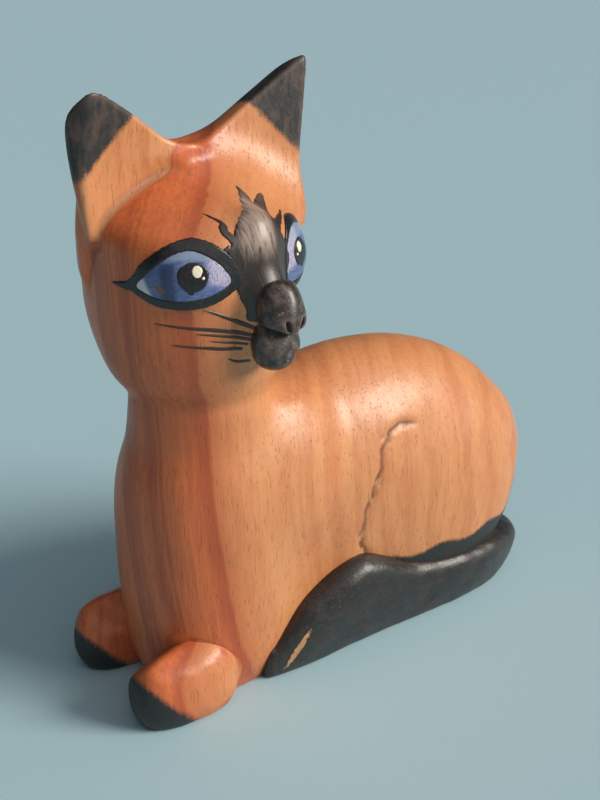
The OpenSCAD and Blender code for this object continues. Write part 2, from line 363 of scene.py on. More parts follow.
def ear(b, side):
    """A wedge with a dished front facet over a rounded back, and how far in front one is."""
    pts = [(side * x, y, z) for x, y, z in EARS[side]]
    n, c = facet_plane(side)
    ahead = b.hx * n[0] + b.hy * n[1] + b.z * n[2] - c
    mid = 18 if side > 0 else 22
    dish = np.exp(-(((b.hx * side - mid) / 9) ** 2) - (((b.z - 132) / 10) ** 2))
    dish *= 1.0 if side > 0 else 1.3
    wedge = None
    for m, o in hull_planes(pts):
        if np.dot(m, n) > 0.999:
            continue
        plane = b.hx * m[0] + b.hy * m[1] + b.z * m[2] - o
        wedge = plane if wedge is None else keep(wedge, plane, 2.4)
    front = ahead + (shape().dishing / MM) * dish
    return keep(wedge - 0.35, front, 1.1), ahead


def wood(b, ears=True):
    """The whole block of wood on a grid, without its paws and tail."""
    low = grooved(b, torso(b) + (shape().tool_marks / MM) * ripple(b))
    high = merge(face(b), barrel(b), 9)
    share = ease(73, 82, b.z)
    d = low * (1 - share) + high * share
    if ears:
        for side in (-1, 1):
            wedge, ahead = ear(b, side)
            crease = 1.6 if side < 0 else 11
            d = merge(d, wedge, crease + (9 - crease) * ease(1.5, 6.5, -ahead))
    return keep(d, -b.z, 1.0)


def paw(b, side):
    """A front paw: a squared pebble with two knife facets that meet in a ridge."""
    d = ball(b, (side * PAW_AT[0], *PAW_AT[1:]), PAW_SIZE, power=2.3)
    out = side * b.x - PAW_AT[0]
    facet = 0.5 * out - 0.1 * (b.y + 56) + 0.86 * (b.z - 19.6)
    other = -0.62 * out - 0.2 * (b.y + 56) + 0.76 * (b.z - 18.9)
    d = keep(keep(d, facet, 1.6), other, 1.6)
    return keep(d + 0.15 * ripple(b), -b.z, 1.0)


def tail_route():
    """Middle line of the tail on the floor, from the rump round to its tip."""
    t = np.linspace(0, 1, 140).astype(np.float32)
    x = curve([-4, 6, 12.5, 14.6, 14.0, 13.6, 14.6, 14.8], t)
    y = curve([62, 58, 46, 32, 14, -4, -20, -31], t)
    return t, x, y


def tail(b):
    """The tail lying on the floor along the left flank, on its own grid."""
    t, px, py = tail_route()
    x, y = b.x[:, :, 0], b.y[:, :, 0]
    best, across, at, past = [np.full(np.broadcast(x, y).shape, v, np.float32)
                              for v in (1e9, 0, 0, 0)]
    for i in range(len(t) - 1):
        ex, ey = px[i + 1] - px[i], py[i + 1] - py[i]
        n = math.hypot(ex, ey)
        raw = ((x - px[i]) * ex + (y - py[i]) * ey) / n
        u = np.clip(raw, 0, n)
        d = np.hypot(x - px[i] - u * ex / n, y - py[i] - u * ey / n)
        side = ((x - px[i]) * ey - (y - py[i]) * ex) / n
        closer = d < best
        best = np.where(closer, d, best)
        across = np.where(closer, side, across)
        at = np.where(closer, t[i] + (t[i + 1] - t[i]) * u / n, at)
        ends = {0: -raw, len(t) - 2: raw - n}
        past = np.where(closer, np.maximum(ends.get(i, 0), 0), past)
    high = curve([11, 13, 16, 17.5, 20.5, 27.6, 20.8, 11], at)[:, :, None]
    wide = curve([10, 10, 10, 10.2, 11, 12, 10.6, 8.0], at)[:, :, None] / 2
    lean = across[:, :, None] + 0.22 * b.z - 0.6
    f = (np.abs(lean / wide) ** 2.5 + np.abs((b.z - 0.4 * high) / (0.6 * high)) ** 2.3
         + np.abs(past[:, :, None] / 2.2) ** 2.4) ** (1 / 2.4)
    d = b.level(f - 1)
    bevel = -0.45 * lean + 0.89 * (b.z - high) + 0.3
    return keep(keep(d, bevel, 2.5) + 0.12 * ripple(b), -b.z, 1.0)


def nose(b):
    """Nose pad: a squared pebble with two side facets and two nostril slots."""
    tilt = math.radians(-14)
    y, z = b.hy + 27, b.z - 103
    ty, tz = y * math.cos(tilt) + z * math.sin(tilt), z * math.cos(tilt) - y * math.sin(tilt)
    f = (np.abs(b.hx / 5.2) ** 2.5 + np.abs(ty / 4.7) ** 2.5 + np.abs(tz / 6.1) ** 2.5) ** 0.4
    d = b.level(f - 1)
    for side in (-1, 1):
        d = keep(d, 0.58 * side * b.hx - 0.72 * y + 0.38 * z - 4.7, 1.0)
        slot = np.sqrt(((side * b.hx - 2.0 - 0.35 * (z + 2.2)) / 0.62) ** 2
                       + ((y + 4.4) / 1.6) ** 2 + ((z + 2.6) / 1.35) ** 2)
        d = keep(d, -b.level(slot - 1), 0.7)
    return d


def muzzle(b):
    """Two lips over a chin, with the line of the mouth between them."""
    d = None
    for side in (-1, 1):
        lip = ball(b, (side * 2.1, -26.2, 96.6), (3.3, 3.7, 4.3), power=2.3, turned=True)
        lip = keep(lip, 0.45 * side * b.hx - 0.80 * (b.hy + 26.2) + 0.4 * (b.z - 96.6) - 3.1, 0.8)
        d = lip if d is None else merge(d, lip, 0.8)
    chin = ball(b, (0, -25.1, 92.6), (4.3, 4.3, 3.3), turned=True)
    root = ball(b, (0, -24.2, 95.2), (5.0, 3.6, 5.2), turned=True)
    return merge(merge(d, chin, 0.7), root, 1.5)


# ---- From solid to mesh ----------------------------------------------------------------


def at_points(grid, block, points):
    """Values of a grid at points, read between its nodes."""
    q = (points - block.lo) / block.cell
    q = np.clip(q, 0, np.array(grid.shape) - 1.001)
    i = q.astype(int)
    f = q - i
    out = 0
    for dx in (0, 1):
        for dy in (0, 1):
            for dz in (0, 1):
                w = (np.where(dx, f[:, 0], 1 - f[:, 0]) * np.where(dy, f[:, 1], 1 - f[:, 1])
                     * np.where(dz, f[:, 2], 1 - f[:, 2]))
                out = out + w * grid[i[:, 0] + dx, i[:, 1] + dy, i[:, 2] + dz]
    return out


class Skin:
    """The closed surface of a solid, with a normal and named values at its points."""

    def __init__(self, block, solid):
        self.block = block
        self.solid = np.ascontiguousarray(np.clip(solid, -4, 4).astype(np.float32))
        self.slope = block.slopes(self.solid)
        vdb = openvdb.FloatGrid(4.0)
        vdb.copyFromArray(self.solid)
        points, quads = vdb.convertToQuads(0.0)[:2]
        self.points = block.lo + np.asarray(points, np.float64) * block.cell
        self.quads = np.asarray(quads, int)
        for _ in range(2):
            g = self.gradient(self.points)
            d = at_points(self.solid, block, self.points)
            size = np.maximum((g * g).sum(1), 0.05)
            self.points -= g * np.clip(d / size, -block.cell, block.cell)[:, None]
        a, b, c, d = [self.points[self.quads[:, k]] for k in range(4)]
        if (np.einsum("ij,ij->i", a, np.cross(b, c)) + np.einsum("ij,ij->i", a, np.cross(c, d))).sum() < 0:
            self.quads = self.quads[:, ::-1]
        bend = sum(np.gradient(s, block.cell, axis=k) for k, s in enumerate(self.slope))
        self.bend = np.clip(bend, -1.5, 1.5)

    def mesh(self, name):
        """A new mesh of the whole surface, in metres."""
        made = bpy.data.meshes.new(name)
        made.from_pydata((self.points * MM).tolist(), [], self.quads.tolist())
        made.validate()
        return made

    def gradient(self, points):
        return np.stack([at_points(s, self.block, points) for s in self.slope], 1)

    def normals(self, points):
        g = self.gradient(points)
        return g / np.maximum(np.linalg.norm(g, axis=1), 1e-6)[:, None]


def part_off(mesh, planes):
    """Keeps the side of each plane that its normal points away from, and caps the cut."""
    bm = bmesh.new()
    bm.from_mesh(mesh)
    for co, no in planes:
        cut = bmesh.ops.bisect_plane(
            bm, geom=bm.verts[:] + bm.edges[:] + bm.faces[:], dist=1e-7,
            plane_co=Vector(co) * MM, plane_no=Vector(no), clear_outer=True)
        rim = [e for e in cut["geom_cut"] if isinstance(e, bmesh.types.BMEdge) and e.is_boundary]
        bmesh.ops.holes_fill(bm, edges=rim, sides=0)
    bmesh.ops.recalc_face_normals(bm, faces=bm.faces[:])
    bm.to_mesh(mesh)
    bm.free()


def publish(name, mesh, node, slot):
    """Puts a finished mesh in the scene, in the place of its CAD node."""
    piece = bpy.data.objects.new(name, mesh)
    bpy.context.scene.collection.objects.link(piece)
    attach(piece, "root")
    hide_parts(node)


def finish_piece(name, skin, material, node, slot, values=None, mesh=None):
    """Smooths a mesh, by default all of the skin, with its solid's normals and finishes it."""
    mesh = mesh or skin.mesh(name)
    n = len(mesh.vertices)
    co = np.empty(n * 3, np.float32)
    mesh.vertices.foreach_get("co", co)
    points = co.reshape(-1, 3).astype(np.float64) / MM
    normals = skin.normals(points)
    mesh.polygons.foreach_set("use_smooth", np.ones(len(mesh.polygons), bool))
    loops = np.empty(len(mesh.loops), np.int32)
    mesh.loops.foreach_get("vertex_index", loops)
    per_loop = normals[loops]
    for face_ in [p for p in mesh.polygons if p.loop_total > 4]:
        per_loop[face_.loop_start:face_.loop_start + face_.loop_total] = face_.normal
    named = {"hollow": at_points(skin.bend, skin.block, points), **(values(points) if values else {})}
    for key, data in named.items():
        flat = np.asarray(data, np.float32)
        kind = "FLOAT_VECTOR" if flat.ndim == 2 else "FLOAT"
        layer = mesh.attributes.new(key, kind, "POINT")
        layer.data.foreach_set("vector" if flat.ndim == 2 else "value", flat.ravel())
    mesh.normals_split_custom_set(per_loop.tolist())
    mesh.materials.append(material)
    publish(name, mesh, node, slot)


def wooden(node, skin, mesh=None):
    """A piece of varnished wood."""
    finish_piece(node + "_wood", skin, finish(varnished_wood), node, "varnished_wood",
                 spray_values, mesh)


def in_head(points):
    """Points in the head's own frame: across, backwards and up."""
    turn = shape().head_turn
    c, s = math.cos(turn), math.sin(turn)
    dx, dy = points[:, 0] - HEAD[0], points[:, 1] - HEAD[1]
    return dx * c + dy * s, dy * c - dx * s, points[:, 2]


def spray_values(points):
    """Sprayed black, sapwood over the heart, painted shade along the groove and torn fibres at points of the
    wood.
    """
    x, y, z = points.T
    hx, hy, hz = in_head(points)
    tips = (0.714 * np.abs(hx) + 0.7 * hz - 109.4) / 3.0 + 0.5
    left, right = [(-0.74 * y - 0.67 * z - at) / 3.4 + 0.5 for at in (40.6, 42.6)]
    toes = np.where(x > 0, left, right)
    toes = np.where((y < -52) & (z < 19), toes, -9)
    edge = 22.6 + 0.9 * np.sin(0.35 * y) - 7 * ease(-2, -10, y) + 6 * ease(56, 64, y)
    haunch = np.where((y > -8) & (x > 6 - 14 * ease(40, 62, y)), (edge - z) / 3.2 + 0.5, -9)
    tips = np.where(hz > 112, tips, -9)
    flank = np.abs(x) > 10
    near = to_path(THIGH_LINE, y + groove_wander(y, z), z)
    # Painted shade: a dark line along the groove.
    line = np.exp(-((near / 0.55) ** 2)) * (1 - ease(9, 15, y))
    n, c = facet_plane(-1)
    ahead = hx * n[0] + hy * n[1] + hz * n[2] - c
    on_ear = (1 - ease(0.8, 2.2, np.abs(ahead + 0.5))) * ease(2, 8, -hx) * ease(112, 119, hz)
    paw_at = np.linalg.norm((points - PAW_AT) / PAW_SIZE, axis=1)
    return {"spray": np.clip(np.maximum(np.maximum(tips, toes), haunch), -1, 2),
            "pale": np.maximum((1 - ease(1.03, 1.12, paw_at)) * ease(8, 17, x), 3.5 * on_ear),
            "groove": np.where(flank, line, 0), "torn": np.where(flank, torn(y, z), 0)}


# ---- Patterns painted on the head ---------------------------------------------------------


def outline(points, steps=6):
    """Closed smooth outline through a few points."""
    p = np.array(points, float)
    out = []
    for i in range(len(p)):
        a, b, c, d = p[i - 1], p[i], p[(i + 1) % len(p)], p[(i + 2) % len(p)]
        for k in range(steps):
            f = k / steps
            out.append(b + 0.5 * f * (c - a + f * (2 * a - 5 * b + 4 * c - d
                                                 + f * (3 * (b - c) + d - a))))
    return np.array(out)


def brush(points, widths):
    """Outline of one tapered brush stroke along a line of points."""
    p, w = np.array(points, float), np.array(widths, float)
    t = np.linspace(0, 1, 18)
    mid = np.stack([curve(p[:, 0], t), curve(p[:, 1], t)], 1)
    half = np.maximum(curve(w, t), 0.04) / 2
    way = np.gradient(mid, axis=0)
    way /= np.linalg.norm(way, axis=1)[:, None]
    side = np.stack([-way[:, 1], way[:, 0]], 1) * half[:, None]
    return np.concatenate([mid + side, (mid - side)[::-1]])


class Pattern:
    """Signed distance to painted outlines on a flat chart; several outlines are joined."""

    def __init__(self, outlines, holes=(), cell=0.1, rough=0.07):
        every = np.concatenate(outlines)
        self.lo, self.cell = every.min(0) - 2.5, cell
        n = np.ceil((every.max(0) + 2.5 - self.lo) / cell).astype(int) + 1
        u = self.lo[0] + cell * np.arange(n[0])
        v = self.lo[1] + cell * np.arange(n[1])
        u, v = np.meshgrid(u, v, indexing="ij")
        d = np.minimum.reduce([self.inside(o, u, v) for o in outlines])
        for h in holes:
            d = np.maximum(d, -self.inside(h, u, v))
        waves = np.sin(3.1 * u + 1.7 * v) * np.sin(2.3 * v - 1.1 * u) + 0.5 * np.sin(7.7 * u - 5.1 * v)
        self.grid = d + rough * waves

    @staticmethod
    def inside(p, u, v):
        best, flip = np.full(u.shape, 1e9), np.ones(u.shape)
        for a, b in zip(p, np.roll(p, -1, axis=0)):
            e, w0, w1 = b - a, u - a[0], v - a[1]
            t = np.clip((w0 * e[0] + w1 * e[1]) / max(e @ e, 1e-9), 0, 1)
            best = np.minimum(best, (w0 - t * e[0]) ** 2 + (w1 - t * e[1]) ** 2)
            over, under, left = v >= a[1], v < b[1], e[0] * w1 > e[1] * w0
            flip = np.where((over & under & left) | (~over & ~under & ~left), -flip, flip)
        return np.sqrt(best) * flip

    def at(self, u, v):
        q = [np.clip((c - o) / self.cell, 0, n - 1.001)
             for c, o, n in zip((u, v), self.lo, self.grid.shape)]
        q = np.broadcast_arrays(*q)
        i, j = q[0].astype(int), q[1].astype(int)
        f, g = q[0] - i, q[1] - j
        w = self.grid
        return ((w[i, j] * (1 - f) + w[i + 1, j] * f) * (1 - g)
                + (w[i, j + 1] * (1 - f) + w[i + 1, j + 1] * f) * g).astype(np.float32)


def eye_chart(side):
    """Chart of one eye: along the cheek towards the nose, and up."""
    def chart(hx, hy, z):
        return (math.radians(EYE_AT) - side * np.arctan2(hx, -hy)) * EYE_R, z - EYE_Z
    return chart


def film(name, pattern, chart, box, level, base, material, node, slot):
    """A coat of paint: what lies within a pattern, from inside the wood to a level above it."""
    block = Block(*box, shape().paint_cell / MM)
    wood = face(block)
    u, v = chart(block.hx, block.hy, block.z)
    flat = pattern.at(u, v)
    front = np.where(block.hy < 6, flat, 3.0)
    solid = keep(keep(wood - level / MM, front, 0.22), -(wood - base / MM), 0.05)

    def values(points):
        a, b = chart(*in_head(points))
        return {"chart": np.stack([a, b, 0 * a], 1)}

    finish_piece(name, Skin(block, solid), material, node, slot, values)


# ---- Finishes ---------------------------------------------------------------------------


class Mix:
    """A socket of a node tree; its operators add Math nodes, and node() adds any other."""

    def __init__(self, tree, socket):
        self.tree, self.socket = tree, socket

    def node(self, kind, settings=None, inputs=None, out=0):
        made = self.tree.nodes.new(kind)
        for key, value in (settings or {}).items():
            setattr(made, key, value)
        for key, value in (inputs or {}).items():
            if isinstance(value, Mix):
                self.tree.links.new(value.socket, made.inputs[key])
            else:
                made.inputs[key].default_value = value
        return Mix(self.tree, made.outputs[out])

    def math(self, operation, *others):
        return self.node("ShaderNodeMath", {"operation": operation},
                         {i: v for i, v in enumerate((self,) + others)})

    def __add__(self, other):
        return self.math("ADD", other)

    def __mul__(self, other):
        return self.math("MULTIPLY", other)

    def __sub__(self, other):
        return self.math("SUBTRACT", other)

    def __rsub__(self, other):
        return self.node("ShaderNodeMath", {"operation": "SUBTRACT"}, {0: other, 1: self})

    __radd__, __rmul__ = __add__, __mul__

    def ease(self, lo, hi):
        """Goes smoothly from 0 to 1 as the value goes from lo to hi."""
        return self.node("ShaderNodeMapRange", {"interpolation_type": "SMOOTHSTEP"},
                         {0: self, 1: lo, 2: hi, 3: 0.0, 4: 1.0})

    def between(self, a, b):
        """Colour a where this value is 0 and colour b where it is 1."""
        a, b = [v if isinstance(v, Mix) else (*v, 1.0) for v in (a, b)]
        return self.node("ShaderNodeMix", {"data_type": "RGBA"}, {0: self, 6: a, 7: b}, out=2)

    def grain(self, scale, detail=3.0, rough=0.55, twist=0.0):
        """Noise from 0 to 1 over a vector in millimetres, stretched by scale."""
        if isinstance(scale, (int, float)):
            scale = (scale,) * 3
        place = self.node("ShaderNodeVectorMath", {"operation": "MULTIPLY"}, {0: self, 1: scale})
        return self.node("ShaderNodeTexNoise", None, {
            "Vector": place, "Scale": 1.0, "Detail": detail, "Roughness": rough, "Distortion": twist})

    def part(self, i):
        return self.node("ShaderNodeSeparateXYZ", None, {0: self}, out=i)

    def value(self, name, vector=False):
        """A named value that the mesh carries."""
        return self.node("ShaderNodeAttribute", {"attribute_name": name}, out=1 if vector else 2)


class Finish:
    """A new material: its main shader and its place in millimetres."""

    def __init__(self, name):
        self.material = bpy.data.materials.new(name)
        self.material.use_nodes = True
        tree = self.material.node_tree
        self.shader = next(n for n in tree.nodes if n.type == "BSDF_PRINCIPLED")
        start = Mix(tree, None)
        place = start.node("ShaderNodeTexCoord", out=3)
        self.mm = place.node("ShaderNodeVectorMath", {"operation": "SCALE"}, {0: place, 3: 1000.0})

    def set(self, **links):
        """Links or sets the main shader's own sockets."""
        for key, value in links.items():
            socket = self.shader.inputs[key.replace("_", " ")]
            if isinstance(value, Mix):
                value.tree.links.new(value.socket, socket)
            else:
                socket.default_value = value
        return self.material

    def bump(self, height, depth):
        """Raises the surface by up to depth metres where height is 1."""
        return height.node("ShaderNodeBump", None,
                           {"Strength": 1.0, "Distance": depth, "Height": height})


def varnished_wood():
    """Straight-grained wood with a red-brown heart, sprayed edges and satin varnish, with painted shade in
    creases and along the groove and painted highlights on edges.
    """
    c, f = colours(), Finish("varnished wood")
    mm = f.mm
    z = mm.part(2)
    slow = mm.grain((0.045, 0.045, 0.012), 2)
    wander = mm.grain((0.35, 0.35, 0.05), 2)
    away = mm.node("ShaderNodeVectorMath", {"operation": "SUBTRACT"}, {0: mm, 1: (*PITH, 0)})
    flat = away.node("ShaderNodeVectorMath", {"operation": "MULTIPLY"}, {0: away, 1: (1, 1, 0)})
    ring = flat.node("ShaderNodeVectorMath", {"operation": "LENGTH"}, {0: flat}, out=1) - HEART_RADIUS
    drop = z - 57.0
    lean = 3.9 - drop * 0.065 + drop * drop * 0.0006
    s = ring - lean + (slow - 0.5) * 4.0 + (wander - 0.5) * 1.6
    s = s + mm.value("pale") * 9.0
    s = s + (mm.grain((0.028, 0.028, 0.028), 2) - 0.5) * mm.part(1).ease(-8, 25) * 26.0
    heart = 1.0 - s.ease(-0.5, 0.9)
    edge = s.ease(-4.5, -0.3) * (1.0 - s.ease(-0.2, 0.8))
    bands = s.node("ShaderNodeTexNoise", {"noise_dimensions": "1D"},
                   {"W": s * 0.16 + 3.7, "Scale": 1.0, "Detail": 4.0, "Roughness": 0.62})
    rings = bands.ease(0.40, 0.66)
    fibre = mm.grain((0.75, 0.75, 0.035), 4, 0.6)
    cloud = mm.grain((0.09, 0.09, 0.05), 3)
    pores = mm.grain((2.3, 2.3, 0.26), 2, 0.6).ease(0.585, 0.70)
    flecks = mm.grain((4.5, 4.5, 0.9), 1).ease(0.62, 0.72)
    sap = (rings * 0.6 + fibre.ease(0.35, 0.75) * 0.4).between(c.sap_light, c.sap_deep)
    sap = (cloud.ease(0.48, 0.75) * 0.45).between(sap, (0.54, 0.165, 0.055))
    blush = 1.0 - s.ease(0.5, 7.5)
    sap = (blush * 0.75).between(sap, (0.52, 0.145, 0.045))
    ember = (rings * 0.55 + fibre.ease(0.35, 0.7) * 0.3)
    red = ember.between(c.heart_light, c.heart_deep)
    red = (edge * 0.75).between(red, c.heart_deep)
    wood = heart.between(sap, red)
    wood = (pores * 0.34 + flecks * 0.10).between(wood, c.pore)
    hollow = mm.value("hollow")
    shaded_crease = (0 - hollow).ease(0.05, 0.8)
    wear_and_sheen = hollow.ease(0.35, 1.1)
    # Painted shade: the wood is darker in its concave creases.
    wood = (shaded_crease * 0.6).between(wood, (0.12, 0.035, 0.014))
    # Lighter on convex edges: partly rubbed varnish, partly a painted highlight.
    wood = (wear_and_sheen * 0.15).between(wood, (0.74, 0.42, 0.2))
    # Painted shade: a dark line along the groove.
    line = mm.value("groove") * mm.grain((0.8, 0.8, 0.4), 3).ease(0.25, 0.5)
    wood = (line * 0.8).between(wood, (0.13, 0.035, 0.014))
    split = mm.grain((1.6, 1.6, 0.3), 4, 0.7)
    raw = split.ease(0.35, 0.6).between((0.30, 0.10, 0.035), (0.72, 0.42, 0.20))
    wood = (mm.value("torn").ease(0.3, 0.8) * 0.55).between(wood, raw)
    scuff = mm.grain((0.9, 0.9, 0.3), 4, 0.7)
    chips = mm.grain((1.9, 1.9, 1.5), 3, 0.6).ease(0.70, 0.74)
    spray = mm.value("spray") + (scuff - 0.5) * 0.5 + (mm.grain(2.4, 2) - 0.5) * 0.45
    black = spray.ease(0.28, 0.78) * (1.0 - chips * 0.55)
    # The black is browner higher up, partly rubbed paint and partly a painted sheen, and darker near the
    # floor, a painted shade.
    rubbed = (mm.grain((0.5, 0.5, 0.25), 4, 0.65).ease(0.40, 0.68) * 0.45 + wear_and_sheen * 0.3)
    base = z.ease(15, 110).between((0.011, 0.012, 0.011), c.black)
    paint = (rubbed * z.ease(10, 110)).between(base, (0.15, 0.085, 0.06))
    colour_ = black.between(wood, paint)
    lines = mm.grain((0.25, 1.4, 0.9), 5, 0.75, 0.6).ease(0.60, 0.66)
    height = (fibre * 0.4 - pores * 0.5 + mm.grain(0.5, 3) * 0.6 - lines * 0.12
              + black * mm.grain(3.0, 2) * 0.5)
    rough = 0.37 + mm.grain(0.7, 4) * 0.16 + pores * 0.2 + black * 0.12 + shaded_crease * 0.2
    return f.set(Base_Color=colour_, Roughness=rough, Coat_Weight=0.24, Coat_Roughness=0.30,
                 Specular_IOR_Level=0.5, Normal=f.bump(height, 0.00009))


def tail_paint():
    """Black satin paint, reddish on the ridges where it is partly rubbed and partly given a painted sheen,
    with specks and a bare sliver.
    """
    c, f = colours(), Finish("black tail paint")
    mm = f.mm
    hollow = mm.value("hollow")
    brushed = mm.grain((1.3, 0.16, 0.5), 4, 0.65)
    rub_and_sheen = (brushed.ease(0.45, 0.75) * 0.22 + hollow.ease(0.15, 0.8) * brushed.ease(0.42, 0.64) * 0.4)
    # Reddish on streaks and ridges: partly rubbed paint, partly a painted sheen.
    paint = rub_and_sheen.between(c.black, c.wear_and_sheen)
    dust = mm.grain(3.4, 2, 0.5).ease(0.70, 0.735)
    paint = (dust * 0.55).between(paint, (0.6, 0.55, 0.5))
    bare = (mm.value("bare") + (mm.grain((1.4, 1.4, 0.8), 4, 0.7) - 0.5) * 1.1).ease(0.45, 0.6)
    paint = bare.between(paint, mm.grain((2, 2, 0.4), 3).between((0.62, 0.36, 0.17), (0.3, 0.12, 0.05)))
    height = brushed * 0.7 + mm.grain(0.6, 3) * 0.9 + dust * 0.4 - bare * 1.2
    return f.set(Base_Color=paint, Roughness=0.30 + brushed * 0.18 + dust * 0.3 + bare * 0.2,
                 Coat_Weight=0.12, Coat_Roughness=0.3, Normal=f.bump(height, 0.00016))


def nose_paint():
    """Black satin paint, brown-grey where it is mottled and on the ridges, partly rubbed paint and partly a
    painted sheen.
    """
    c, f = colours(), Finish("black nose paint")
    mm = f.mm
    hollow = mm.value("hollow")
    mottled = mm.grain(0.55, 4, 0.6)
    rub_and_sheen = mottled.ease(0.38, 0.70) * 0.6 + hollow.ease(0.35, 1.2) * 0.35
    # Brown-grey mottling and ridges: partly rubbed paint, partly a painted sheen.
    paint = rub_and_sheen.between(c.black, (0.17, 0.115, 0.09))
    specks = mm.grain(1.6, 2, 0.5).ease(0.70, 0.74)
    paint = (specks * 0.7).between(paint, (0.5, 0.36, 0.24))
    height = mottled * 0.6 + mm.grain(2.2, 3) * 0.35
    return f.set(Base_Color=paint, Roughness=0.27 + mottled * 0.2, Coat_Weight=0.25,
                 Coat_Roughness=0.25, Normal=f.bump(height, 0.00014))


def eye_paint():
    """Brushed blue with a deep shadow, lilac strokes, a white corner and small chips."""
    c, f = colours(), Finish("blue eye paint")
    mm = f.mm
    chart = mm.value("chart", True)
    u, v = chart.part(0), chart.part(1)
    stroke = chart.grain((0.5, 1.9, 1.0), 4, 0.7, 0.4)
    fine = chart.grain((3.2, 1.2, 1.0), 3, 0.65)
    wave = (stroke - 0.5) * 3.0
    paint = stroke.ease(0.35, 0.7).between(c.blue, (0.13, 0.185, 0.38))
    deep = (u + wave * 0.5).ease(-5.4, -3.4) * (1.0 - (u + wave * 0.4).ease(-2.2, -0.6))
    deep = deep * (1.0 - (v + wave * 0.3).ease(3.2, 4.6))
    paint = (deep * 0.85).between(paint, c.blue_deep)
    pale = (u + wave * 0.7).ease(3.8, 6.0) * (v + u * 0.35 + wave * 0.5).ease(0.6, 2.6)
    paint = (pale * fine.ease(0.25, 0.6)).between(paint, c.lilac)
    top = (v + wave * 0.25).ease(3.9, 5.2)
    paint = (top * 0.6).between(paint, (0.30, 0.36, 0.46))
    corner = 1.0 - (u + v * 0.5 + wave * 0.3).ease(-8.6, -7.2)
    paint = (corner * 0.9).between(paint, (0.66, 0.64, 0.66))
    du, dv = u + 5.0 + v * 0.5, v + 1.2
    arc = (du * du + dv * dv * 2.6).math("SQRT") + (chart.grain((1.3, 1.3, 1.0), 3) - 0.5) * 2.6
    chip = 1.0 - arc.ease(0.8, 1.1)
    paint = chip.between(paint, (0.22, 0.07, 0.035))
    height = stroke * 0.7 + fine * 0.4 - chip * 1.5
    return f.set(Base_Color=paint, Roughness=0.30 + stroke * 0.14, Coat_Weight=0.3,
                 Coat_Roughness=0.2, Normal=f.bump(height, 0.00008))


def one_coat(name, main, second, scale, rough, depth, amount=0.5):
    """A brushed coat of one colour with a second one showing in its strokes."""
    f = Finish(name)
    mm = f.mm
    stroke = mm.grain(scale, 4, 0.65)
    paint = (stroke.ease(0.45, 0.75) * amount).between(main, second)
    height = stroke * 0.8 + mm.grain(2.6, 2) * 0.3
    return f.set(Base_Color=paint, Roughness=rough + stroke * 0.14, Coat_Weight=0.25,
                 Coat_Roughness=0.22, Normal=f.bump(height, depth))


def blaze_paint():
    """Dark brown brushed paint with a pale grey bloom down its middle, partly sprayed grey and partly a
    painted highlight.
    """
    c, f = colours(), Finish("umber blaze paint")
    mm = f.mm
    chart = mm.value("chart", True)
    u, v = chart.part(0), chart.part(1)
    hair = chart.grain((1.1, 0.22, 1.0), 5, 0.7, 0.3)
    ragged = (hair - 0.5) * 7.0
    along = (v + ragged * 0.5).ease(2.6, 7.0) * (1.0 - (v + ragged * 0.4).ease(13.0, 16.0))
    mid = u - (v - 9.0) * 0.12 + 0.9
    across = (mid + ragged * 0.35).ease(-5.4, -3.2) * (1.0 - (mid + ragged * 0.45).ease(2.2, 5.0))
    # The bloom is partly sprayed grey paint and partly a painted highlight.
    bloom = along * across * hair.ease(0.28, 0.56)
    paint = hair.ease(0.3, 0.75).between(c.umber, (0.05, 0.03, 0.022))
    paint = (bloom * 0.8).between(paint, c.sheen)
    height = hair * 0.9 + mm.grain(2.0, 3) * 0.3
    return f.set(Base_Color=paint, Roughness=0.34 + hair * 0.16, Coat_Weight=0.3,
                 Coat_Roughness=0.28, Normal=f.bump(height, 0.00012))


def floor_finish():
    """Plain pale matt floor with a very fine tooth."""
    f = Finish("pale floor")
    tooth = f.mm.grain(0.8, 2)
    paint = (tooth * 0.06).between(colours().floor, (0.42, 0.54, 0.6))
    return f.set(Base_Color=paint, Roughness=0.85, Specular_IOR_Level=0.2,
                 Normal=f.bump(tooth, 0.00003))


MADE = {}


def finish(make, *args):
    """Each finish is mixed once and shared by every piece that takes it."""
    key = (make.__name__,) + args[:1]
    if key not in MADE:
        MADE[key] = make(*args)
    return MADE[key]


# ---- Operators: one for each piece or group of like pieces ----------------------------------


class CAT_OT_trunk(bpy.types.Operator):
    """Chest, belly, back and haunches in one piece of wood, cut flat at the neck"""

    bl_idname = "cat.trunk"
    bl_label = "Trunk"

    def execute(self, context):
        s = shape()
        block = Block((-24.5, -64.5, -2.4), (24.5, 70.5, 83), s.trunk_cell / MM)
        skin = Skin(block, wood(block, ears=False))
        mesh = skin.mesh("trunk_wood")
        part_off(mesh, [((0, 0, s.neck / MM), (0, 0, 1))])
        wooden("trunk", skin, mesh)
        return {"FINISHED"}


class CAT_OT_head(bpy.types.Operator):
    """Head and the two ears, parted along the creases in front of the ears"""

    bl_idname = "cat.head"
    bl_label = "Head and ears"

    def execute(self, context):
        s = shape()
        block = Block((-27.5, -74, 73), (33.5, -3, 151), s.head_cell / MM)
        skin = Skin(block, wood(block))
        whole = skin.mesh("head_wood")
        neck = ((0, 0, s.neck / MM), (0, 0, -1))
        c, sn = math.cos(s.head_turn), math.sin(s.head_turn)
        creases = {}
        for side in (-1, 1):
            a, low = [np.array((side * p[0], p[1], p[2])) for p in EARS[side][1:3]]
            up = np.cross(low - a, facet_plane(side)[0])
            up *= np.sign(up[2]) / np.linalg.norm(up)
            co = (HEAD[0] + a[0] * c - a[1] * sn, HEAD[1] + a[0] * sn + a[1] * c, a[2])
            creases[side] = (co, (up[0] * c - up[1] * sn, up[0] * sn + up[1] * c, up[2]))
        for name, side in (("ear_left", 1), ("ear_right", -1)):
            mesh = whole.copy()
            co, up = creases[side]
            middle = ((HEAD[0], HEAD[1], 0), (-side * c, -side * sn, 0))
            part_off(mesh, [(co, tuple(-v for v in up)), middle])
            wooden(name, skin, mesh)
        part_off(whole, [neck])
        keep_both(whole, creases, (c, sn))
        wooden("head", skin, whole)
        return {"FINISHED"}


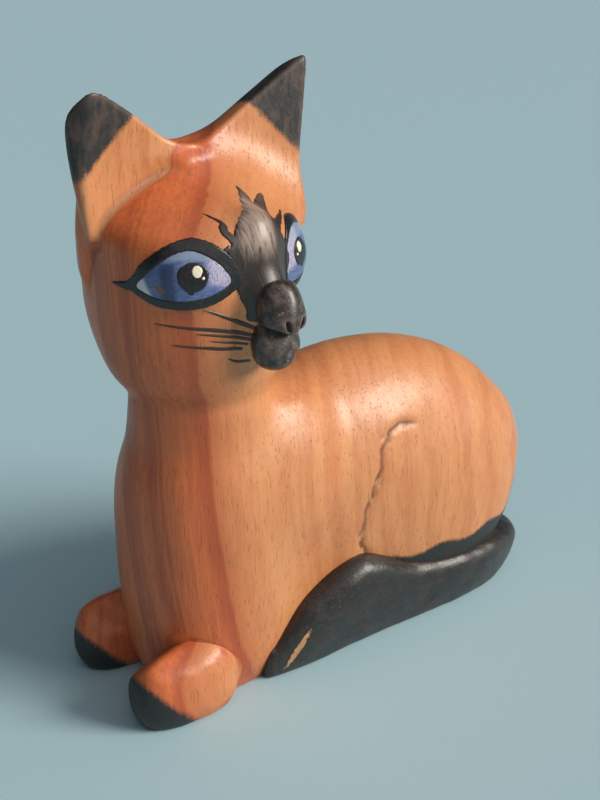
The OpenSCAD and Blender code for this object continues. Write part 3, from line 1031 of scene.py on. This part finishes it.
def keep_both(mesh, creases, turn):
    """Takes the wedge above each crease off the head, each on its own half."""
    c, sn = turn
    bm = bmesh.new()
    bm.from_mesh(mesh)
    mid = Vector((HEAD[0], HEAD[1], 0)) * MM
    across = Vector((c, sn, 0))
    for side in (-1, 1):
        co, up = Vector(creases[side][0]) * MM, Vector(creases[side][1])
        half = [f for f in bm.faces if (f.calc_center_median() - mid).dot(across) * side > -0.004]
        verts, edges = {v for f in half for v in f.verts}, {e for f in half for e in f.edges}
        bmesh.ops.bisect_plane(bm, geom=list(verts) + list(edges) + half, dist=1e-7,
                               plane_co=co, plane_no=up)
    for side in (-1, 1):
        bmesh.ops.bisect_plane(bm, geom=bm.verts[:] + bm.edges[:] + bm.faces[:], dist=1e-7,
                               plane_co=mid, plane_no=across)
    gone = []
    for f in bm.faces:
        p = f.calc_center_median()
        side = 1 if (p - mid).dot(across) > 0 else -1
        if (p - Vector(creases[side][0]) * MM).dot(Vector(creases[side][1])) > 0:
            gone.append(f)
    bmesh.ops.delete(bm, geom=gone, context="FACES")
    rim = [e for e in bm.edges if e.is_boundary]
    bmesh.ops.holes_fill(bm, edges=rim, sides=0)
    bmesh.ops.triangulate(bm, faces=[f for f in bm.faces if len(f.verts) > 4])
    bmesh.ops.recalc_face_normals(bm, faces=bm.faces[:])
    bm.to_mesh(mesh)
    bm.free()


class CAT_OT_paws(bpy.types.Operator):
    """Two front paws with a ridge along the top, let into the chest"""

    bl_idname = "cat.paws"
    bl_label = "Front paws"

    def execute(self, context):
        for side, node in ((-1, "forepaw_right"), (1, "forepaw_left")):
            block = Block((side * 14.5 - 9.5, -72.5, -1.6), (side * 14.5 + 9.5, -39, 21), 0.4)
            d = keep(paw(block, side), -(torso(block) + LET_IN), 0.3)
            wooden(node, Skin(block, d))
        return {"FINISHED"}


class CAT_OT_tail(bpy.types.Operator):
    """Black tail lying along the left flank"""

    bl_idname = "cat.tail"
    bl_label = "Tail"

    def execute(self, context):
        block = Block((-9, -36, -1.6), (24, 70, 30), 0.45)
        d = keep(tail(block), -(torso(block) + LET_IN), 0.3)

        def values(points):
            x, y, z = points.T
            off = np.hypot((y + 26.5 - 0.55 * (z - 6)) / 1.5, (z - 8) / 7.0)
            return {"bare": np.where(x > 10, 1.25 - off, -1.0)}

        finish_piece("tail_black", Skin(block, d), finish(tail_paint), "tail", "tail_paint", values)
        return {"FINISHED"}


class CAT_OT_nose(bpy.types.Operator):
    """Nose pad and muzzle, carved proud of the face and painted black"""

    bl_idname = "cat.nose"
    bl_label = "Nose and muzzle"

    def execute(self, context):
        block = Block((22.5, -46, 87), (38, -28.5, 111.5), 0.2)
        inside = -(face(block) + NOSE_LET_IN)
        lip = MOUTH + LIP_SLOPE * np.abs(block.hx)
        for node, solid, other in (("nose", nose(block), lip - block.z),
                                   ("muzzle", muzzle(block), block.z - lip - 0.4)):
            skin = Skin(block, keep(keep(solid, inside, 0.2), other, 0.5))
            finish_piece(node + "_black", skin, finish(nose_paint), node, "nose_paint")
        return {"FINISHED"}


# Outlines on an eye's chart: towards the nose and up. A dot has its middle and half sizes
EYE_FIELD = [(-9.9, -1.3), (-8.3, 0.6), (-6.7, 2.2), (-3.7, 4.6), (-0.9, 6.0), (1.8, 6.3),
             (4.5, 5.4), (7.3, 3.4), (8.9, 1.5), (9.7, -0.4), (7.6, -1.9), (4.2, -3.1),
             (0.5, -3.6), (-4.1, -3.4), (-7.4, -2.6)]
EYE_RIM = [(-12.1, -1.7), (-10.4, 1.4), (-8.4, 3.9), (-3.9, 7.1), (0.9, 8.5), (4.7, 8.1),
           (8.0, 6.5), (10.6, 3.7), (12.1, -0.9), (9.6, -3.2), (5.1, -5.2), (0.4, -5.7),
           (-5.1, -5.3), (-8.7, -4.0)]
EYE_SPIKE = [(-10.5, 0.9), (-12.6, -0.7), (-17.3, -1.6), (-12.4, -2.6), (-10.2, -2.4)]
FAR_FIELD = [(-9.9, -1.3), (-8, 1), (-6, 3.2), (-3, 5.4), (0.5, 6.6), (4.5, 7.0), (8, 6.2),
             (10.0, 4.0), (10.7, 1.0), (10.5, -2.0), (9.2, -4.2), (6, -4.8), (2, -4.4),
             (-4, -3.6), (-7.4, -2.6)]
FAR_RIM = [(-12.1, -1.7), (-10.2, 1.8), (-7.8, 4.6), (-4, 7.2), (0.5, 8.6), (5.0, 8.9), (9, 7.4),
           (11.0, 4.6), (11.6, 1.0), (11.3, -2.6), (9.9, -5.4), (6, -6.4), (2, -6.1), (-5, -5.3),
           (-8.7, -4.0)]
EYE_DOT = [(2.75, 2.5, 1.05, 1.25), (3.9, 1.1, 0.35, 0.35)]


def round_outline(u, v, ru, rv, n=28):
    a = np.linspace(0, 2 * math.pi, n, endpoint=False)
    return np.stack([u + ru * np.cos(a) * (1 + 0.05 * np.sin(3 * a)), v + rv * np.sin(a)], 1)


class CAT_OT_eyes(bpy.types.Operator):
    """Blue field, black rim with its outer spike, pupil and catchlight of both eyes"""

    bl_idname = "cat.eyes"
    bl_label = "Eyes"

    def execute(self, context):
        s, c = shape(), colours()
        coat, r = s.coat, s.pupil / MM
        black = finish(one_coat, "black eye line", c.line, (0.035, 0.03, 0.028), 1.1, 0.30, 0.00009)
        cream = finish(one_coat, "cream catchlight", c.cream, (0.6, 0.5, 0.36), 1.2, 0.34, 0.00012)
        boxes = {1: ((7, -45, 102), (31, -12, 121)), -1: ((5, -69, 102), (31, -41, 121))}
        for side, word in ((1, "left"), (-1, "right")):
            chart = eye_chart(side)
            box = boxes[side]
            over = 2.8 if side > 0 else 0.0
            inner, outer = [outline(p) for p in ((FAR_FIELD, FAR_RIM) if side > 0 else (EYE_FIELD, EYE_RIM))]
            rim = Pattern([outer, np.array(EYE_SPIKE)], [inner])
            field = Pattern([inner + (inner - inner.mean(0)) * 0.03], rough=0.02)
            round_ = Pattern([round_outline(2.0 + over, 1.35, r, r),
                              brush([(1.5 + over, -1.2), (1.5 + over, -2.2)], [1.8, 0.8])])
            dots = Pattern([round_outline(u + over, v, a, b) for u, v, a, b in EYE_DOT])
            coats = (("eye_field", "blue", field, coat, -SUNK, finish(eye_paint), "eye_blue"),
                     ("eye_rim", "black", rim, coat * 1.6, -SUNK, black, "line_black"),
                     ("pupil", "black", round_, coat * 1.7, 0.0, black, "line_black"),
                     ("catchlight", "cream", dots, coat * 2.5, coat, cream, "catchlight_cream"))
            for kind, tone, pattern, level, base, paint, slot in coats:
                node = kind + "_" + word
                film(node + "_" + tone, pattern, chart, box, level, base, paint, node, slot)
        return {"FINISHED"}


# Across the face and up; each flame has a line and the widths along it
BLAZE = [(0.4, 123.0), (2.4, 122.6), (4.0, 121.4), (5.4, 120.4), (5.8, 119.0), (6.0, 117.4),
         (6.7, 116.0), (7.8, 113.9), (8.6, 111.0), (7.6, 108.0), (6.6, 105.5), (4, 104),
         (-4.4, 100.4), (-5.6, 103.4), (-6.6, 106.3), (-7.2, 109.2), (-7.2, 111.6), (-7.8, 113.8),
         (-8.6, 115.4), (-7.4, 117.0), (-5.8, 119.2), (-3.6, 121.4), (-1.4, 122.6)]
FLAMES = [([(1.0, 121.8), (4.0, 124.2), (5.2, 127.5)], [3.0, 1.4, 0.0]),
          ([(3.4, 121.0), (7.4, 122.4), (13.4, 123.7)], [3.0, 1.4, 0.0]),
          ([(4.8, 118.0), (7.8, 119.0), (12.4, 120.0)], [2.8, 1.3, 0.0]),
          ([(-6.2, 117.0), (-7.6, 119.2), (-6.9, 120.6), (-8.6, 122.4)], [2.0, 1.5, 0.9, 0.0]),
          ([(-7.8, 116.4), (-10.2, 115.2)], [1.3, 0.2])]


class CAT_OT_blaze(bpy.types.Operator):
    """Dark patch over the bridge of the nose with flames painted up the forehead"""

    bl_idname = "cat.blaze"
    bl_label = "Blaze"

    def execute(self, context):
        shapes = [outline(BLAZE, 4)] + [brush(p, w) for p, w in FLAMES]
        shapes = [np.stack([o[:, 0], o[:, 1] - EYE_Z], 1) for o in shapes]
        pattern = Pattern(shapes)

        def chart(hx, hy, z):
            return hx, z - EYE_Z

        film("blaze_umber", pattern, chart, ((4, -56, 99), (31.5, -24, 131)), shape().coat * 1.15,
             -SUNK, finish(blaze_paint), "blaze", "blaze_umber")
        return {"FINISHED"}


# Each stroke: its line, round the cheek and up, and its share of the full width
WHISKERS = [([(-2.9, 98.6), (-7.1, 100.5), (-14.6, 104.1)], 1.45),
            ([(-4.3, 97.4), (-9.5, 98.7), (-15.3, 99.7), (-25.2, 100.9)], 1.15),
            ([(-4.3, 96.4), (-10, 97.6), (-16.4, 98.7)], 0.85),
            ([(-5.9, 94.3), (-10, 94.7), (-14.5, 95.4), (-21.6, 96.3)], 1.0),
            ([(-5.0, 95.4), (-9.5, 96.1), (-13.5, 96.9)], 0.55),
            ([(-3.2, 90.9), (-6.8, 91.2), (-9.2, 92.3)], 1.1)]


def whisker_tree(material):
    """Nodes that turn lines on the cheek into tapered strokes, half sunk in the surface."""
    tree = bpy.data.node_groups.new("Whisker strokes", "GeometryNodeTree")
    socket = tree.interface.new_socket
    socket("Geometry", in_out="INPUT", socket_type="NodeSocketGeometry")
    wide = socket("Half width", in_out="INPUT", socket_type="NodeSocketFloat")
    proud = socket("Stand proud", in_out="INPUT", socket_type="NodeSocketFloat")
    socket("Geometry", in_out="OUTPUT", socket_type="NodeSocketGeometry")
    new = Mix(tree, None).node
    lines, half, lift = [new("NodeGroupInput", out=i) for i in range(3)]

    def stored(name, kind):
        return new("GeometryNodeInputNamedAttribute", {"data_type": kind}, {"Name": name})

    taper = new("ShaderNodeFloatCurve", None, {"Value": new("GeometryNodeSplineParameter")})
    mapping = taper.socket.node.mapping
    first, last = mapping.curves[0].points
    first.location, last.location = (0.0, 0.75), (1.0, 0.06)
    for spot in ((0.3, 1.0), (0.62, 0.6)):
        mapping.curves[0].points.new(*spot)
    mapping.update()
    radius = taper * half * stored("share", "FLOAT")
    offset = new("ShaderNodeVectorMath", {"operation": "SCALE"},
                 {0: stored("away", "FLOAT_VECTOR"), "Scale": lift - radius})
    path = new("GeometryNodeMeshToCurve", None, {"Mesh": lines})
    path = new("GeometryNodeSetCurveRadius", None, {"Curve": path, "Radius": radius})
    path = new("GeometryNodeSetPosition", None, {"Geometry": path, "Offset": offset})
    ring = new("GeometryNodeCurvePrimitiveCircle", None, {"Resolution": 12, "Radius": 1.0})
    stroke = new("GeometryNodeCurveToMesh", None,
                 {"Curve": path, "Profile Curve": ring, "Scale": radius, "Fill Caps": True})
    stroke = new("GeometryNodeRealizeInstances", None, {0: stroke})
    stroke = new("GeometryNodeSetMaterial", None, {"Geometry": stroke, "Material": material})
    tree.links.new(stroke.socket, tree.nodes.new("NodeGroupOutput").inputs[0])
    return tree, {"wide": wide.identifier, "proud": proud.identifier}


class CAT_OT_whiskers(bpy.types.Operator):
    """Brown brush strokes fanned out over both cheeks"""

    bl_idname = "cat.whiskers"
    bl_label = "Whiskers"

    def execute(self, context):
        s, c = shape(), colours()
        brown = finish(one_coat, "whisker brown", c.whisker, (0.11, 0.04, 0.02), 1.6, 0.36, 0.00007)
        tree, sockets = whisker_tree(brown)
        head = bpy.data.objects["head_wood"]
        co, sn = math.cos(s.head_turn), math.sin(s.head_turn)
        for side, word in ((1, "left"), (-1, "right")):
            points, edges, away, share = [], [], [], []
            for path, width in WHISKERS:
                p = np.array(path)
                t = np.linspace(0, 1, 26)
                for k, (u, z) in enumerate(zip(curve(p[:, 0], t), curve(p[:, 1], t))):
                    a = -side * u / EYE_R
                    lx, ly = math.sin(a), -math.cos(a)
                    out = Vector((lx * co - ly * sn, lx * sn + ly * co, 0))
                    start = Vector((HEAD[0], HEAD[1], z)) * MM + out * 0.05
                    hit, spot, normal, _ = head.ray_cast(start, -out)
                    if not hit:
                        raise RuntimeError("a whisker misses the cheek")
                    if k:
                        edges.append((len(points) - 1, len(points)))
                    points.append(spot)
                    away.append(normal)
                    share.append(width)
            mesh = bpy.data.meshes.new("whisker lines")
            mesh.from_pydata(points, edges, [])
            mesh.attributes.new("away", "FLOAT_VECTOR", "POINT").data.foreach_set(
                "vector", np.array(away, np.float32).ravel())
            mesh.attributes.new("share", "FLOAT", "POINT").data.foreach_set(
                "value", np.array(share, np.float32))
            lines = bpy.data.objects.new("whisker lines", mesh)
            context.scene.collection.objects.link(lines)
            grown = lines.modifiers.new("Strokes", "NODES")
            grown.node_group = tree
            grown[sockets["wide"]] = s.whisker
            grown[sockets["proud"]] = s.coat * 0.8
            context.view_layer.update()
            made = bpy.data.meshes.new_from_object(
                lines.evaluated_get(context.evaluated_depsgraph_get()))
            lines.modifiers.remove(grown)
            bpy.data.objects.remove(lines)
            if len(made.polygons) < 100:
                raise RuntimeError("the whisker strokes came out empty")
            made.polygons.foreach_set("use_smooth", np.ones(len(made.polygons), bool))
            publish("whiskers_" + word + "_brown", made, "whiskers_" + word, "whisker_brown")
        return {"FINISHED"}


# Each lamp: name, direction it shines from, width in degrees, strength and colour
LAMPS = [("low key", (0.66, 0.56, 0.42), 28, 3.8, (1.0, 0.93, 0.85)),
         ("high key", (0.40, 0.10, 0.90), 75, 0.75, (1.0, 0.96, 0.92)),
         ("front fill", (0.70, -0.62, 0.35), 60, 0.22, (1.0, 0.90, 0.80))]


def sky_light(name, towards, softness, strength, tint):
    """A soft lamp far away in a direction, as wide as softness in degrees."""
    data = bpy.data.lights.new(name, "SUN")
    data.angle, data.energy, data.color = math.radians(softness), strength, tint
    lamp = bpy.data.objects.new(name, data)
    lamp.location = Vector(towards)
    lamp.rotation_euler = (-Vector(towards)).to_track_quat("-Z", "Y").to_euler()
    bpy.context.scene.collection.objects.link(lamp)


class CAT_OT_stage(bpy.types.Operator):
    """Plain pale floor, soft studio light and the camera"""

    bl_idname = "cat.stage"
    bl_label = "Stage"

    def execute(self, context):
        scene = context.scene
        mesh = bpy.data.meshes.new("floor")
        n, far = 24, 6.0
        side = [far * (2 * i / n - 1) for i in range(n + 1)]
        mesh.from_pydata([(x, y, 0) for y in side for x in side], [],
                         [(j * (n + 1) + i, j * (n + 1) + i + 1, (j + 1) * (n + 1) + i + 1,
                           (j + 1) * (n + 1) + i) for j in range(n) for i in range(n)])
        mesh.materials.append(finish(floor_finish))
        floor = bpy.data.objects.new("floor", mesh)
        scene.collection.objects.link(floor)
        for lamp in LAMPS:
            sky_light(*lamp)
        world = bpy.data.worlds.new("soft room")
        world.use_nodes = True
        glow = world.node_tree.nodes["Background"].inputs
        glow["Color"].default_value, glow["Strength"].default_value = (0.42, 0.76, 1.0, 1), 0.075
        scene.world = world
        scene.view_settings.view_transform = "Standard"
        data = bpy.data.cameras.new("camera")
        data.lens, data.sensor_width, data.clip_start = 51.75, 36.0, 0.01
        camera = bpy.data.objects.new("camera", data)
        camera.location = (0.2163, -0.167, 0.178)
        camera.rotation_euler = (math.radians(90 - 22.87), 0, math.radians(54))
        scene.collection.objects.link(camera)
        scene.camera = camera
        return {"FINISHED"}


OPERATORS = (CAT_OT_trunk, CAT_OT_head, CAT_OT_paws, CAT_OT_tail, CAT_OT_nose, CAT_OT_eyes,
             CAT_OT_blaze, CAT_OT_whiskers, CAT_OT_stage)


class CAT_PT_sidebar(bpy.types.Panel):
    """Lists the sizes, the colours and the pieces of the cat"""

    bl_label = "Carved wooden cat"
    bl_idname = "CAT_PT_sidebar"
    bl_space_type = "VIEW_3D"
    bl_region_type = "UI"
    bl_category = "Cat"

    def draw(self, context):
        for group in (context.scene.cat_shape, context.scene.cat_colours):
            box = self.layout.box()
            for key in group.__annotations__:
                box.prop(group, key)
        for operator in OPERATORS:
            self.layout.operator(operator.bl_idname)


CLASSES = (CatShape, CatColours) + OPERATORS + (CAT_PT_sidebar,)


def register():
    for c in CLASSES:
        bpy.utils.register_class(c)
    bpy.types.Scene.cat_shape = bpy.props.PointerProperty(type=CatShape)
    bpy.types.Scene.cat_colours = bpy.props.PointerProperty(type=CatColours)


def unregister():
    del bpy.types.Scene.cat_colours
    del bpy.types.Scene.cat_shape
    for c in reversed(CLASSES):
        bpy.utils.unregister_class(c)


def main():
    register()
    bpy.ops.cat.trunk()
    bpy.ops.cat.head()
    bpy.ops.cat.paws()
    bpy.ops.cat.tail()
    bpy.ops.cat.nose()
    bpy.ops.cat.eyes()
    bpy.ops.cat.blaze()
    bpy.ops.cat.whiskers()
    bpy.ops.cat.stage()
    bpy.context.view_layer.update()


if __name__ == "__main__":
    main()
